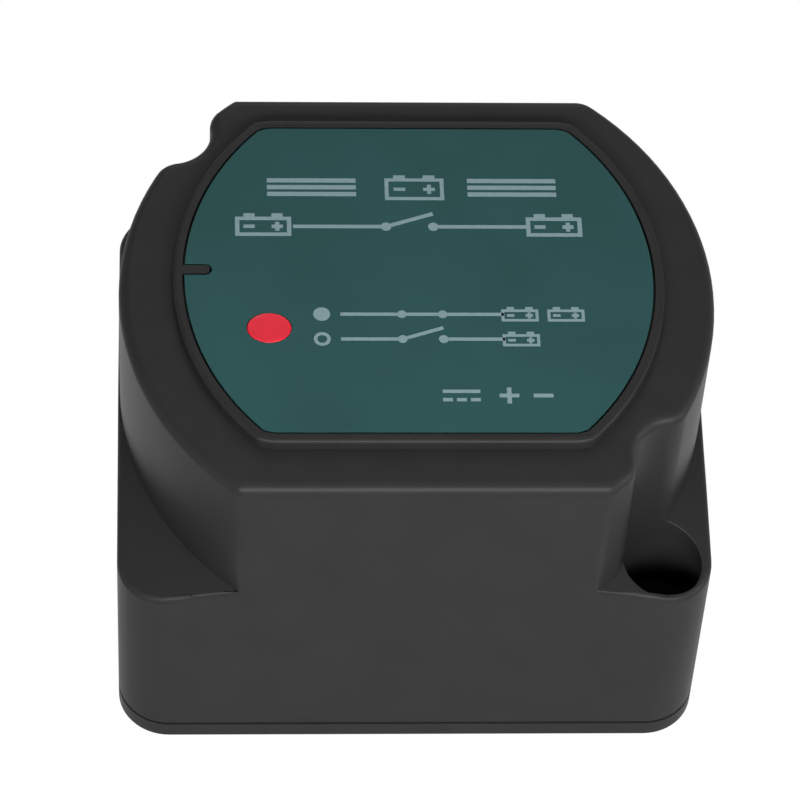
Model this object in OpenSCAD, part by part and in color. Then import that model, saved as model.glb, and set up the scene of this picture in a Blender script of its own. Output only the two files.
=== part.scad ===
// Battery isolator relay: a moulded housing on a base plate, with a sealed
// solenoid contactor and its control board inside. Units are millimetres.
// Origin: centre of the underside. +Z is up, and the front wall faces -Y.

/* [Housing] */
// Overall width, left to right
body_w = 68; // [66:1:76]
// Overall depth, between the two flat walls
body_d = 58; // [56:1:66]
// Overall height, from the base plate's underside to the raised rim
body_h = 50; // [49.5:0.5:58]
// Radius of the round side walls
side_r = 36.8; // [36:0.2:42]
// How far the front and back walls lean inwards for each millimetre of height
wall_lean = 0.018; // [0.01:0.001:0.025]
// Radius of the base's vertical corners
corner_r = 6; // [5.4:0.2:7]
// Thickness of the outer walls
wall_t = 2.4; // [2:0.1:2.8]
// Thickness of the top wall at the shoulder
top_t = 2.2; // [1.8:0.1:2.6]
// Height of the corner ledges where they meet the round wall
ledge_h = 29.2; // [28:0.2:34]
// Fall of the ledges for each millimetre outwards
ledge_slope = 0.3; // [0.2:0.02:0.4]
// Radius of the fillet along the top edge
edge_r = 1; // [0.6:0.1:1.4]

/* [Label seat] */
// Height of the raised rim round the label above the shoulder
plateau_h = 1.4; // [1:0.1:2]
// Width of the raised rim
plateau_rim = 1.4; // [1:0.1:2]
// Width of the label
label_w = 52.8; // [49:0.2:55]
// Depth of the label, between its two straight edges
label_d = 43.4; // [40:0.2:46]
// Radius of the label's round sides
label_arc_r = 30.8; // [29:0.2:36]
// How far the label sits behind the centre
label_y = 0.5; // [0:0.1:1.2]
// Radius of the label's corners
label_corner_r = 3; // [2:0.1:4]
// Thickness of the label
label_t = 0.3; // [0.2:0.05:0.4]

/* [Indicator] */
// Place of the window to the left of the centre
window_x = 16.9; // [14:0.1:18]
// Place of the window in front of the centre
window_y = 6.6; // [4:0.1:8]
// Width of the window
window_w = 4.7; // [4:0.1:5.4]
// Depth of the window
window_d = 3.9; // [3.4:0.1:4]

/* [Mounting] */
// Distance of the mounting holes from the outer walls
mount_inset = 6; // [5.6:0.1:6.8]
// Diameter of the mounting holes
mount_hole_d = 5.2; // [4.2:0.1:5.4]
// Diameter of the counterbore for the screw head and of the scallop above it
counterbore_d = 9.4; // [8.8:0.1:10]
// Depth of the counterbore below the ledge
counterbore_depth = 12; // [8:0.5:16]

/* [Base plate] */
// Thickness of the base plate
plate_t = 2.2; // [2:0.1:2.8]
// Height of the shadow gap above the plate
reveal_h = 0.3; // [0.2:0.1:0.6]
// Depth of the shadow gap
reveal_d = 0.8; // [0.5:0.1:1.2]
// Diameter of the round cable entries
cable_d = 11.2; // [9:0.2:11.6]

/* [Terminals] */
// Diameter of the battery studs
stud_d = 8; // [6:0.5:8]
// Distance between the battery studs
stud_spacing = 34; // [33:0.5:35]
// Free space between the base plate and the studs' ends
stud_end_gap = 2.4; // [1.6:0.1:4]
// How far the studs stand out of their nuts
stud_tail = 2.2; // [1:0.1:3]
// Thickness of the insulating carrier that holds the studs
carrier_t = 3.5; // [3:0.1:4.5]

/* [Contacts] */
// Gap between the open contacts
contact_gap = 1.5; // [1:0.1:2]
// Stroke of the plunger, with the contacts' follow-through
plunger_stroke = 2; // [2:0.1:2.4]
// Width of the moving bridge
bridge_w = 10; // [8:0.5:12]
// Thickness of the moving bridge
bridge_t = 1.8; // [1.4:0.1:2.2]

/* [Coil] */
// Thickness of the yoke's steel
yoke_t = 2; // [1.6:0.1:2.4]
// Diameter of the bobbin's flanges
bobbin_d = 28.4; // [26:0.2:29]
// Diameter of the plunger
plunger_d = 13.8; // [12.4:0.2:15]

/* [Circuit board] */
// Thickness of the circuit board
board_t = 1.6; // [1:0.1:2]
// Width of the circuit board
board_w = 50; // [47:0.5:52]
// Space between the board and the shoulder's underside
board_headroom = 1.9; // [1.7:0.1:2.6]

/* [Hidden] */

// Facets of large arcs, of round parts and of small ones
fine_fn = 96;
round_fn = 48;
small_fn = 32;

// Overrun of every cut
over = 0.5;

// Clearances
seat_gap = 0.2;
label_gap = 0.25;
screw_gap = 0.04;
running_gap = 0.1;

// Colours
black_abs = [0.2, 0.2, 0.2];
teal_print = [0.18, 0.32, 0.32];
red_lens = [0.89, 0.18, 0.25];
dark_resin = [0.15, 0.13, 0.12];
steel = [0.72, 0.73, 0.74];
copper = [0.78, 0.48, 0.32];
brass = [0.8, 0.66, 0.36];
silver = [0.85, 0.85, 0.83];
board_green = [0.1, 0.36, 0.2];

// Levels of the housing
shoulder_z = body_h - plateau_h;
ceiling_z = shoulder_z - top_t;
housing_z = plate_t;
label_seat_depth = label_t + 0.05 * label_t;
label_z = body_h - label_seat_depth;
pocket_t = 2;
pocket_z = label_z - pocket_t;
cavity_w = body_w - 2 * wall_t;
cavity_d = body_d - 2 * wall_t;
scallop_wall = 2;
side_inset = 0.2;
corner_skin = 0.01;
ledge_lap = wall_t / 2;
plateau_edge_r = 0.5;

// Places of the mounting holes and, on the other diagonal, of the cover screws
mount_x = body_w / 2 - mount_inset;
mount_y = body_d / 2 - mount_inset;
mount_places = [[mount_x, -mount_y], [-mount_x, mount_y]];
cover_places = [[-mount_x, -mount_y], [mount_x, mount_y]];
counterbore_z = ledge_h - counterbore_depth;
cover_screw_d = 3.4;
cover_head_d = 6.4;
cover_screw_l = 14;
cover_head_t = (cover_head_d - cover_screw_d) / 2;

// Cable entries: a round hole, half in the housing and half in a tongue of the plate
entry_z = housing_z + cable_d / 2 + 1.8;
tongue_w = cable_d + 3.2;
tongue_lip = 1.2;
lip_h = 2;
lip_t = 1.4;

// Hardware of the battery studs
washer_t = 1.6;
washer_d = 2 * stud_d;
lock_t = 2;
lock_d = 1.6 * stud_d;
lock_slot = 1.4;
nut_af = 1.625 * stud_d;
nut_t = 0.8125 * stud_d;
stud_z = plate_t + stud_end_gap;
carrier_z = stud_z + stud_tail + nut_t + lock_t + washer_t;
carrier_top = carrier_z + carrier_t;
barrier_t = 2;
barrier_gap = 0.6;

// Contact pads on the studs' heads
pad_in = 8.5;
pad_w = 14;
pad_out = pad_in + pad_w;
pad_t = 2.4;
pad_sink = 1;
pad_top = carrier_top - pad_sink + pad_t;
tip_d = 6;
tip_t = 0.6;
tip_x = pad_in + tip_d / 2 + 0.5;

// Bridge, rod and spring seats
bridge_z = pad_top + tip_t + contact_gap + tip_t;
bridge_l = 2 * (tip_x + tip_d / 2 + 1);
bridge_top = bridge_z + bridge_t;
rod_d = 3.6;
rod_tail = 0.8;
clip_t = 0.8;
clip_d = 7;
clip_slot = 1.6;
spring_wire = 0.6;
contact_spring_d = 6.6;
contact_spring_l = 5.1;
contact_spring_turns = 3;
spring_washer_t = 0.6;
spring_washer_d = 7.8;
spring_washer_z = bridge_top + contact_spring_l;

// Solenoid: the bobbin fills the height between the contacts and the board
spring_room = 2.1;
yoke_z = bridge_top + spring_room;
board_top = ceiling_z - board_headroom;
board_z = board_top - board_t;
board_gap = 1;
yoke_plate_z = board_z - board_gap - yoke_t;
bobbin_z = yoke_z + yoke_t;
bobbin_h = yoke_plate_z - bobbin_z;
flange_t = 1;
tube_t = 1;
bore_gap = 0.3;
bobbin_bore_d = plunger_d + 2 * bore_gap;
winding_d = bobbin_d - 1.6;
core_rise = 3.6;
core_top = bobbin_z + core_rise;
core_spigot_d = 11;
core_recess_d = 8.8;
core_recess_z = spring_washer_z + spring_washer_t + seat_gap;
plunger_z = core_top + plunger_stroke;
plunger_top = yoke_plate_z + yoke_t + 0.3 * board_gap;
return_spring_d = 5.8;
return_recess_d = 7;
return_recess_h = 0.64 * (plunger_top - plunger_z);
return_spring_turns = 3.5;
yoke_w = 24;
yoke_leg_w = 12;
yoke_leg_x = bobbin_d / 2 + 1.8;
yoke_l = 2 * (yoke_leg_x + yoke_t);

// Insulating chamber round the contacts, with a post under each frame screw
chamber_wall = 2;
chamber_w = yoke_w - 2 * chamber_wall;
chamber_l = 2 * pad_out + 1;
post_r = 2.4;
frame_screw_d = 2.4;
frame_head_d = 4.2;
frame_head_t = 1.4;
frame_screw_l = 6;
post_x = yoke_l / 2 - post_r - 0.4;
post_y = yoke_w / 2 - post_r + 0.6;

// Bosses that the carrier is screwed to, hanging from the top wall
boss_r = 3.2;
boss_x = 14;
boss_y = cavity_d / 2 - 0.9 * boss_r;
carrier_screw_d = 3;
carrier_head_d = 5.6;
carrier_head_t = 2;
carrier_screw_l = 9;

// Circuit board and its bosses
board_edge_gap = 1.4;
board_d = 2 * (boss_y - boss_r - board_edge_gap);
board_corner_r = 2;
board_boss_r = 2.4;
board_boss_x = board_w / 2 - 4.4;
board_boss_y = board_d / 2 - 3.4;
board_screw_d = 2;
board_head_d = 3.8;
board_head_t = 1.2;
board_screw_l = board_t + 1.6;

// Strips and pins that join the contacts, the coil and the board
strip_t = 0.8;
strip_w = 4;
strip_x = pad_out - 1.2;
strip_foot = 3.4;
strip_tail = 0.7;
pin_w = 0.8;
pin_x = 3;
pin_y = yoke_w / 2 + 1.2;

// Ground terminal, in the same chamber as the battery studs
ground_y = board_d / 2 - 2.9;
ground_d = 4;
ground_head_d = 6.8;
ground_head_t = 2;
ground_nut_af = 7;
ground_nut_t = 3.2;
ground_washer_d = 9;
ground_washer_t = 0.8;
ground_tail = 2;
ground_lug_d = 7.6;
ground_strip_w = 3;
ground_strip_x = ground_lug_d / 2 + 0.9;

// Barrier between the battery studs, clear of the ground terminal
barrier_front = cavity_d / 2 - 5;
barrier_back = ground_y - ground_washer_d / 2 - 1;

// Parts on the board
led_body = [3.2, 2.8, 1];
led_dome_r = 1.1;
led_h = board_headroom;
chip_size = [5, 4, 1.5];
lead_size = [1.1, 0.4, 0.5];
lead_pitch = 1.27;
transistor_size = [6.4, 5.6, 2.2];
tab_size = [5.2, 1.6, 0.6];
diode_size = [4.4, 3.6, 2.1];
resistor_size = [2, 1.2, 0.6];
resistor_pitch = 3.2;
resistor_x = -8;
resistor_y = -2;
chip_x = 8;
chip_y = 6;
transistor_x = -6;
diode_y = -8;
capacitor_d = 8;
capacitor_h = 9;
trimmer_size = [6.6, 6.6, 4.8];
trimmer_dial_d = 3.4;
trimmer_slot = 0.6;
below_board_x = 12.4;
below_board_y = board_d / 2 - 3.2;

// Truncated circle: two arcs of radius arc_r, a width w apart, cut by two flats
module lens(w, d, arc_r, inset = 0) {
  intersection() {
    translate([arc_r - w / 2, 0]) circle(r = arc_r - inset);
    translate([w / 2 - arc_r, 0]) circle(r = arc_r - inset);
    square([w, d - 2 * inset], center = true);
  }
}

module rounded_rect(w, d, r) {
  square([w - 2 * r, d], center = true);
  square([w, d - 2 * r], center = true);
  for (x = [-1, 1], y = [-1, 1])
    translate([x * (w / 2 - r), y * (d / 2 - r)]) circle(r = r);
}

module ring(outer_d, inner_d, h) {
  difference() {
    cylinder(d = outer_d, h = h);
    translate([0, 0, -over]) cylinder(d = inner_d, h = h + 2 * over);
  }
}

module hex_nut(af, bore_d, h) {
  corner_d = af / cos(30);
  chamfer = (corner_d - af) / 2;
  difference() {
    intersection() {
      cylinder(d = corner_d, h = h, $fn = 6);
      cylinder(d1 = corner_d + 2 * (h - chamfer), d2 = af, h = h, $fn = round_fn);
      cylinder(d1 = af, d2 = corner_d + 2 * (h - chamfer), h = h, $fn = round_fn);
    }
    translate([0, 0, -over]) cylinder(d = bore_d, h = h + 2 * over, $fn = round_fn);
  }
}

// Screw along +Z with its head's underside at zero and its shank above
module pan_screw(d, l, head_d, head_t) {
  drive_d = 0.4 * head_d;
  drive_t = 0.5 * head_t;
  cylinder(d = d, h = l);
  difference() {
    translate([0, 0, -head_t]) {
      cylinder(d1 = 0.8 * head_d, d2 = head_d, h = head_t / 2);
      translate([0, 0, head_t / 2]) cylinder(d = head_d, h = head_t / 2);
    }
    translate([0, 0, -head_t - over]) cylinder(d = drive_d, h = drive_t + over, $fn = 6);
  }
}

// Outline of the inner cavity, kept clear of the scallops
module cavity_outline(gap = 0) {
  difference() {
    lens(body_w, body_d, side_r, wall_t + gap, $fn = fine_fn);
    for (p = mount_places)
      translate(p) circle(r = counterbore_d / 2 + scallop_wall + gap, $fn = round_fn);
  }
}

module label_outline(grow = 0) {
  translate([0, label_y])
    offset(r = label_corner_r + grow, $fn = small_fn)
      lens(label_w, label_d, label_arc_r, label_corner_r, $fn = fine_fn);
}

module window_outline(grow = 0) {
  shift = (window_w - window_d) / 2;
  translate([-window_x, -window_y]) {
    for (side = [-1, 1])
      translate([side * shift, 0]) circle(d = window_d + 2 * grow, $fn = round_fn);
    square([2 * shift, window_d + 2 * grow], center = true);
  }
}

// Small rib on the left of the seat that keys the label
key_w = 1.3;
key_l = 3;
key_y = 1.5;
module key_outline(grow = 0) {
  translate([-label_w / 2, key_y]) {
    translate([-key_l / 2, -key_w / 2 - grow]) square([1.5 * key_l - key_w / 2, key_w + 2 * grow]);
    translate([key_l - key_w / 2, 0]) circle(d = key_w + 2 * grow, $fn = small_fn);
  }
}

// Disc turned about +Z with its top edge rounded
module turned_disc(r, h, fillet) {
  rotate_extrude() {
    square([r - fillet, h]);
    square([r, h - fillet]);
    translate([r - fillet, h - fillet]) circle(r = fillet, $fn = small_fn);
  }
}

// Slab along X with its top edges rounded, whose two flats may lean inwards
module flat_slab(w, d, h, fillet, lean) {
  lean_scale = sqrt(1 + lean * lean);
  centre_y = d / 2 - (h - fillet) * lean - fillet * lean_scale;
  touch_y = centre_y + fillet / lean_scale;
  touch_z = h - fillet + fillet * lean / lean_scale;
  rotate([90, 0, 90])
    translate([0, 0, -w / 2 - over])
      linear_extrude(w + 2 * over) {
        polygon([[-d / 2, 0], [d / 2, 0], [touch_y, touch_z], [centre_y, h],
          [-centre_y, h], [-touch_y, touch_z]]);
        for (side = [-1, 1])
          translate([side * centre_y, h - fillet]) circle(r = fillet, $fn = small_fn);
      }
}

// The lens as a solid: two turned discs and a slab, each with its top edges rounded
module rounded_lens(w, d, arc_r, h, fillet, lean = 0) {
  intersection() {
    translate([arc_r - w / 2, 0, 0]) turned_disc(arc_r, h, fillet);
    translate([w / 2 - arc_r, 0, 0]) turned_disc(arc_r, h, fillet);
    flat_slab(w, d, h, fillet, lean);
  }
}

// Body with the round side walls, which stand in a little from the square base
module round_body() {
  translate([0, 0, housing_z + reveal_h])
    rounded_lens(body_w - 2 * side_inset, body_d, side_r - side_inset,
      shoulder_z - housing_z - reveal_h, edge_r, wall_lean, $fn = fine_fn);
}

// Long prism with rounded corners, whose outer side leans inwards
module leaning_prism(side, h) {
  spare = 2 * body_d * wall_lean + over;
  translate([0, side * (body_d / 2 + corner_skin), 0])
    rotate([side * atan(wall_lean), 0, 0])
      translate([0, -side * body_d, -spare])
        linear_extrude(h + 2 * spare)
          rounded_rect(body_w, 2 * body_d, corner_r, $fn = round_fn);
}

// Square block, whose front and back lean as the round body's do
module leaning_block(h) {
  intersection() {
    leaning_prism(-1, h);
    leaning_prism(1, h);
    flat_slab(body_w, body_d, shoulder_z - housing_z - reveal_h, edge_r, wall_lean);
    translate([-body_w, -body_d, 0]) cube([2 * body_w, 2 * body_d, h]);
  }
}

// Square base, whose four ledges fall away from the round walls as cones
module base_block() {
  apex_z = ledge_h + side_r * ledge_slope;
  cut_z = ledge_h - ledge_slope * body_d / 2;
  difference() {
    translate([0, 0, housing_z + reveal_h])
      leaning_block(ledge_h + ledge_lap - housing_z - reveal_h);
    for (side = [-1, 1])
      difference() {
        translate([side * (body_w + over) / 2, 0, (cut_z + ledge_h + ledge_lap + over) / 2])
          cube([body_w + over, body_d + 2 * over, ledge_h + ledge_lap + over - cut_z],
            center = true);
        translate([-side * (side_r - body_w / 2), 0, 0])
          cylinder(r1 = apex_z / ledge_slope, r2 = 0, h = apex_z, $fn = fine_fn);
      }
  }
}

// Raised rim round the label
module plateau() {
  w = label_w + 2 * plateau_rim;
  translate([0, label_y, shoulder_z - over])
    rounded_lens(w, label_d + 2 * plateau_rim, label_arc_r + plateau_rim,
      plateau_h + over, plateau_edge_r, $fn = fine_fn);
}

// Counterbore, which runs on up the wall as a scallop and flares out at the shoulder
module mount_cut() {
  flare_r = edge_r;
  scallop_r = counterbore_d / 2;
  translate([0, 0, -over]) cylinder(d = mount_hole_d, h = body_h, $fn = round_fn);
  translate([0, 0, counterbore_z]) cylinder(d = counterbore_d, h = body_h, $fn = round_fn);
  translate([0, 0, shoulder_z - flare_r])
    rotate_extrude($fn = round_fn)
      difference() {
        square([scallop_r + flare_r, flare_r + over]);
        translate([scallop_r + flare_r, 0]) circle(r = flare_r, $fn = small_fn);
      }
}

module housing() {
  color(black_abs)
    difference() {
      union() {
        difference() {
          union() {
            round_body();
            base_block();
            plateau();
            translate([0, 0, housing_z])
              linear_extrude(reveal_h + over)
                rounded_rect(body_w - 2 * reveal_d, body_d - 2 * reveal_d,
                  corner_r - reveal_d, $fn = round_fn);
          }
          translate([0, 0, housing_z - over])
            linear_extrude(ceiling_z - housing_z + over) cavity_outline();
          translate([0, 0, ceiling_z - over])
            linear_extrude(pocket_z - ceiling_z + over)
              lens(label_w, label_d, label_arc_r, pocket_t, $fn = fine_fn);
        }
        housing_bosses();
      }
      for (p = mount_places) translate(p) mount_cut();
      for (p = cover_places)
        translate([p[0], p[1], housing_z - over])
          cylinder(d = cover_screw_d + 2 * screw_gap, h = cover_screw_l + over, $fn = small_fn);
      for (x = [-1, 1], y = [-1, 1]) {
        translate([x * boss_x, y * boss_y, carrier_top - over])
          cylinder(d = carrier_screw_d + 2 * screw_gap,
            h = carrier_screw_l - carrier_t + 2 * over, $fn = small_fn);
        translate([x * board_boss_x, y * board_boss_y, board_top - over])
          cylinder(d = board_screw_d + 2 * screw_gap,
            h = board_screw_l - board_t + 2 * over, $fn = small_fn);
      }
      label_seat();
      for (side = [-1, 1]) cable_cut(side);
    }
}

module housing_bosses() {
  for (x = [-1, 1], y = [-1, 1]) {
    translate([x * boss_x, y * boss_y, carrier_top])
      cylinder(r = boss_r, h = ceiling_z - carrier_top + over, $fn = round_fn);
    translate([x * board_boss_x, y * board_boss_y, board_top])
      cylinder(r = board_boss_r, h = ceiling_z - board_top + over, $fn = round_fn);
  }
}

module label_seat() {
  translate([0, 0, label_z])
    linear_extrude(label_seat_depth + over)
      difference() {
        label_outline(label_gap);
        key_outline();
      }
  translate([0, 0, pocket_z - over])
    linear_extrude(pocket_t + 2 * over) window_outline(running_gap);
}

// Upper half of a cable entry, with the straight slot that the plate's tongue fills
module cable_cut(side) {
  reach = wall_t + 2 * over;
  translate([side * (body_w / 2 - wall_t / 2), 0, 0]) {
    translate([-reach / 2, 0, entry_z]) rotate([0, 90, 0])
      cylinder(d = cable_d, h = reach, $fn = round_fn);
    translate([-reach / 2, -tongue_w / 2, housing_z - over])
      cube([reach, tongue_w, entry_z - housing_z + over]);
  }
}

module label_overlay() {
  color(teal_print)
    translate([0, 0, label_z])
      linear_extrude(label_t)
        difference() {
          label_outline();
          key_outline(label_gap / 2);
          window_outline(running_gap);
        }
}

module led_window() {
  flange = 0.8;
  flange_h = 0.8;
  color(red_lens) {
    translate([0, 0, pocket_z - flange_h])
      linear_extrude(flange_h) window_outline(flange);
    translate([0, 0, pocket_z])
      linear_extrude(label_z + label_t - pocket_z) window_outline();
  }
}

module bottom_plate() {
  color(black_abs)
    difference() {
      union() {
        linear_extrude(plate_t)
          rounded_rect(body_w, body_d, corner_r, $fn = round_fn);
        translate([0, 0, plate_t]) locating_lip();
        for (side = [-1, 1]) tongue(side);
      }
      for (p = mount_places)
        translate([p[0], p[1], -over])
          cylinder(d = mount_hole_d, h = plate_t + 2 * over, $fn = round_fn);
      for (p = cover_places) translate(p) {
        translate([0, 0, -over])
          cylinder(d = cover_screw_d + 4 * screw_gap, h = plate_t + 2 * over, $fn = small_fn);
        translate([0, 0, -screw_gap])
          cylinder(d1 = cover_head_d + 2 * screw_gap, d2 = cover_screw_d + 2 * screw_gap,
            h = cover_head_t, $fn = small_fn);
      }
    }
}

// Low wall inside the housing that centres the plate
module locating_lip() {
  difference() {
    linear_extrude(lip_h)
      difference() {
        cavity_outline(seat_gap);
        cavity_outline(seat_gap + lip_t);
      }
    for (side = [-1, 1])
      translate([side * body_w / 2, 0, lip_h / 2])
        cube([2 * (wall_t + lip_t + over + body_w / 2 - cavity_w / 2), tongue_w, lip_h + 2 * over],
          center = true);
  }
}

// Lower half of a cable entry
module tongue(side) {
  w = tongue_w - 2 * seat_gap;
  difference() {
    translate([side * (body_w / 2 - wall_t / 2), 0, plate_t - over])
      translate([-wall_t / 2, -w / 2, 0]) cube([wall_t, w, entry_z - plate_t + over]);
    translate([side * body_w / 2 - wall_t - over, 0, entry_z]) rotate([0, 90, 0])
      cylinder(d = cable_d, h = 2 * (wall_t + over), $fn = round_fn);
  }
}

module cover_screws() {
  drive_d = 0.36 * cover_head_d;
  color(steel)
    for (p = cover_places) translate(p)
      difference() {
        union() {
          cylinder(d1 = cover_head_d, d2 = cover_screw_d, h = cover_head_t, $fn = small_fn);
          cylinder(d = cover_screw_d, h = cover_screw_l, $fn = small_fn);
        }
        translate([0, 0, -over])
          cylinder(d = drive_d, h = cover_head_t / 2 + over, $fn = 6);
      }
}

module stud_carrier() {
  color(dark_resin)
    difference() {
      union() {
        translate([0, 0, carrier_z]) linear_extrude(carrier_t) cavity_outline(seat_gap);
        translate([-barrier_t / 2, -barrier_front, plate_t + barrier_gap])
          cube([barrier_t, barrier_front + barrier_back,
            carrier_z - plate_t - barrier_gap + over]);
      }
      for (side = [-1, 1]) {
        translate([side * stud_spacing / 2, 0, carrier_z - over])
          cylinder(d = stud_d + 2 * running_gap, h = carrier_t + 2 * over, $fn = round_fn);
        translate([side * (pad_in + pad_out) / 2, 0, carrier_top - pad_sink / 2 + over / 2])
          cube([pad_out - pad_in + 2 * running_gap, pad_w + 2 * running_gap,
            pad_sink + over], center = true);
        for (y = [-1, 1])
          translate([side * boss_x, y * boss_y, carrier_z - over])
            cylinder(d = carrier_screw_d + 2 * running_gap, h = carrier_t + 2 * over,
              $fn = small_fn);
      }
      translate([0, ground_y, carrier_z - over])
        cylinder(d = ground_d + 2 * running_gap, h = carrier_t + 2 * over, $fn = small_fn);
    }
}

module carrier_screws() {
  color(steel)
    for (x = [-1, 1], y = [-1, 1])
      translate([x * boss_x, y * boss_y, carrier_z])
        pan_screw(carrier_screw_d, carrier_screw_l, carrier_head_d, carrier_head_t, $fn = small_fn);
}

// Copper stud with the flat contact pad that is its head
module terminal_stud(side) {
  stud_chamfer = 0.1 * stud_d;
  color(copper)
    translate([side * stud_spacing / 2, 0, 0]) {
      translate([0, 0, stud_z + stud_chamfer])
        cylinder(d = stud_d, h = carrier_top - pad_sink - stud_z - stud_chamfer, $fn = round_fn);
      translate([0, 0, stud_z])
        cylinder(d1 = stud_d - 2 * stud_chamfer, d2 = stud_d, h = stud_chamfer, $fn = round_fn);
      translate([side * ((pad_in + pad_out) / 2 - stud_spacing / 2), 0, pad_top - pad_t / 2])
        cube([pad_out - pad_in, pad_w, pad_t], center = true);
    }
}

module terminal_stud_left() { terminal_stud(-1); }

module terminal_stud_right() { terminal_stud(1); }

module at_studs(z) {
  for (side = [-1, 1]) translate([side * stud_spacing / 2, 0, z]) children();
}

module terminal_washers() {
  color(brass)
    at_studs(carrier_z - washer_t)
      ring(washer_d, stud_d + 2 * running_gap, washer_t, $fn = round_fn);
}

module lock_washers() {
  color(steel)
    at_studs(carrier_z - washer_t - lock_t)
      difference() {
        ring(lock_d, stud_d + 2 * running_gap, lock_t, $fn = round_fn);
        rotate([0, 20, 0])
          translate([0, -lock_slot / 2, -lock_t])
            cube([lock_d, lock_slot, 4 * lock_t]);
      }
}

module terminal_nuts() {
  color(brass)
    at_studs(stud_z + stud_tail)
      hex_nut(nut_af, stud_d + 2 * screw_gap, nut_t);
}

module ground_stud() {
  color(brass)
    translate([0, ground_y, 0]) {
      translate([0, 0, carrier_top + strip_t])
        cylinder(d = ground_head_d, h = ground_head_t, $fn = 6);
      translate([0, 0, carrier_z - ground_washer_t - ground_nut_t - ground_tail])
        cylinder(d = ground_d,
          h = carrier_t + strip_t + ground_washer_t + ground_nut_t + ground_tail, $fn = small_fn);
    }
}

module ground_washer() {
  color(brass)
    translate([0, ground_y, carrier_z - ground_washer_t])
      ring(ground_washer_d, ground_d + 2 * running_gap, ground_washer_t, $fn = small_fn);
}

module ground_nut() {
  color(brass)
    translate([0, ground_y, carrier_z - ground_washer_t - ground_nut_t])
      hex_nut(ground_nut_af, ground_d + 2 * screw_gap, ground_nut_t);
}

// Lug under the ground stud's head, with a strip that rises through the board
module ground_strip() {
  color(brass)
    difference() {
      translate([0, ground_y, carrier_top]) {
        cylinder(d = ground_lug_d, h = strip_t, $fn = round_fn);
        translate([0, -ground_strip_w / 2, 0])
          cube([ground_strip_x + strip_t, ground_strip_w, strip_t]);
        translate([ground_strip_x, -ground_strip_w / 2, 0])
          cube([strip_t, ground_strip_w, board_top + strip_tail - carrier_top]);
      }
      translate([0, ground_y, carrier_top - over])
        cylinder(d = ground_d + screw_gap, h = strip_t + 2 * over, $fn = small_fn);
    }
}

// Frame of insulating walls round the contacts, which carries the yoke
module contact_chamber() {
  h = yoke_z - carrier_top;
  color(dark_resin)
    translate([0, 0, carrier_top])
      difference() {
        union() {
          translate([-chamber_l / 2 - chamber_wall, -yoke_w / 2, 0])
            cube([chamber_l + 2 * chamber_wall, yoke_w, h]);
          for (x = [-1, 1], y = [-1, 1])
            translate([x * post_x, y * post_y, 0]) cylinder(r = post_r, h = h, $fn = small_fn);
        }
        difference() {
          translate([-chamber_l / 2, -chamber_w / 2, -over])
            cube([chamber_l, chamber_w, h + 2 * over]);
          for (x = [-1, 1], y = [-1, 1])
            translate([x * post_x, y * post_y, -2 * over])
              cylinder(r = post_r, h = h + 4 * over, $fn = small_fn);
        }
        for (x = [-1, 1], y = [-1, 1])
          translate([x * post_x, y * post_y, h - frame_screw_l + yoke_t - over])
            cylinder(d = frame_screw_d + 2 * screw_gap, h = frame_screw_l, $fn = small_fn);
      }
}

module fixed_contact_tips() {
  color(silver)
    for (side = [-1, 1])
      translate([side * tip_x, 0, pad_top]) cylinder(d = tip_d, h = tip_t, $fn = small_fn);
}

module contact_bridge() {
  color(copper)
    translate([0, 0, bridge_z])
      difference() {
        linear_extrude(bridge_t)
          rounded_rect(bridge_l, bridge_w, bridge_w / 4, $fn = small_fn);
        translate([0, 0, -over])
          cylinder(d = rod_d + 2 * running_gap, h = bridge_t + 2 * over, $fn = small_fn);
      }
}

module moving_contact_tips() {
  color(silver)
    for (side = [-1, 1])
      translate([side * tip_x, 0, bridge_z - tip_t])
        cylinder(d = tip_d, h = tip_t, $fn = small_fn);
}

// Helical spring of round wire between z0 and z0 + l, as one closed tube
spring_sides = 6;
spring_rings = 18;

function helix_point(r, z0, run, turns, u) =
  [r * cos(360 * turns * u), r * sin(360 * turns * u), z0 + run * u];

// Least distance between points of the centre line that are over half a turn apart
function least_gap(line, wire_d) =
  min([for (i = [0:len(line) - 1], j = [i + spring_rings / 2:len(line) - 1])
    norm(line[i] - line[j])]) - wire_d;

module wire_spring(mean_d, z0, l, turns) {
  rings = ceil(turns * spring_rings);
  line = [for (i = [0:rings])
    helix_point(mean_d / 2, z0 + spring_wire / 2, l - spring_wire, turns, i / rings)];
  echo(str("Least gap between the spring's turns, in millimetres: ", least_gap(line, spring_wire)));
  points = [
    for (i = [0:rings], k = [0:spring_sides - 1])
      let (a = 360 * turns * i / rings, b = 360 * k / spring_sides)
        line[i] + spring_wire / 2 * [cos(a) * cos(b), sin(a) * cos(b), sin(b)]
  ];
  tube = [
    for (i = [0:rings - 1], k = [0:spring_sides - 1])
      let (a = i * spring_sides + k, b = i * spring_sides + (k + 1) % spring_sides)
        each [[a, a + spring_sides, b + spring_sides], [a, b + spring_sides, b]]
  ];
  ends = [
    [for (k = [0:spring_sides - 1]) k],
    [for (k = [spring_sides - 1:-1:0]) rings * spring_sides + k]
  ];
  polyhedron(points, concat(tube, ends));
}

module contact_spring() {
  color(steel)
    wire_spring(contact_spring_d - spring_wire, bridge_top, contact_spring_l,
      contact_spring_turns);
}

module pusher_rod() {
  color(steel)
    translate([0, 0, bridge_z - clip_t - rod_tail])
      cylinder(d = rod_d, h = plunger_top - bridge_z + clip_t + rod_tail, $fn = small_fn);
}

module retaining_clip() {
  color(steel)
    translate([0, 0, bridge_z - clip_t])
      difference() {
        ring(clip_d, rod_d, clip_t, $fn = small_fn);
        translate([0, -clip_slot / 2, -over]) cube([clip_d, clip_slot, clip_t + 2 * over]);
      }
}

module spring_washer() {
  color(steel)
    translate([0, 0, spring_washer_z])
      ring(spring_washer_d, rod_d, spring_washer_t, $fn = small_fn);
}

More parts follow.
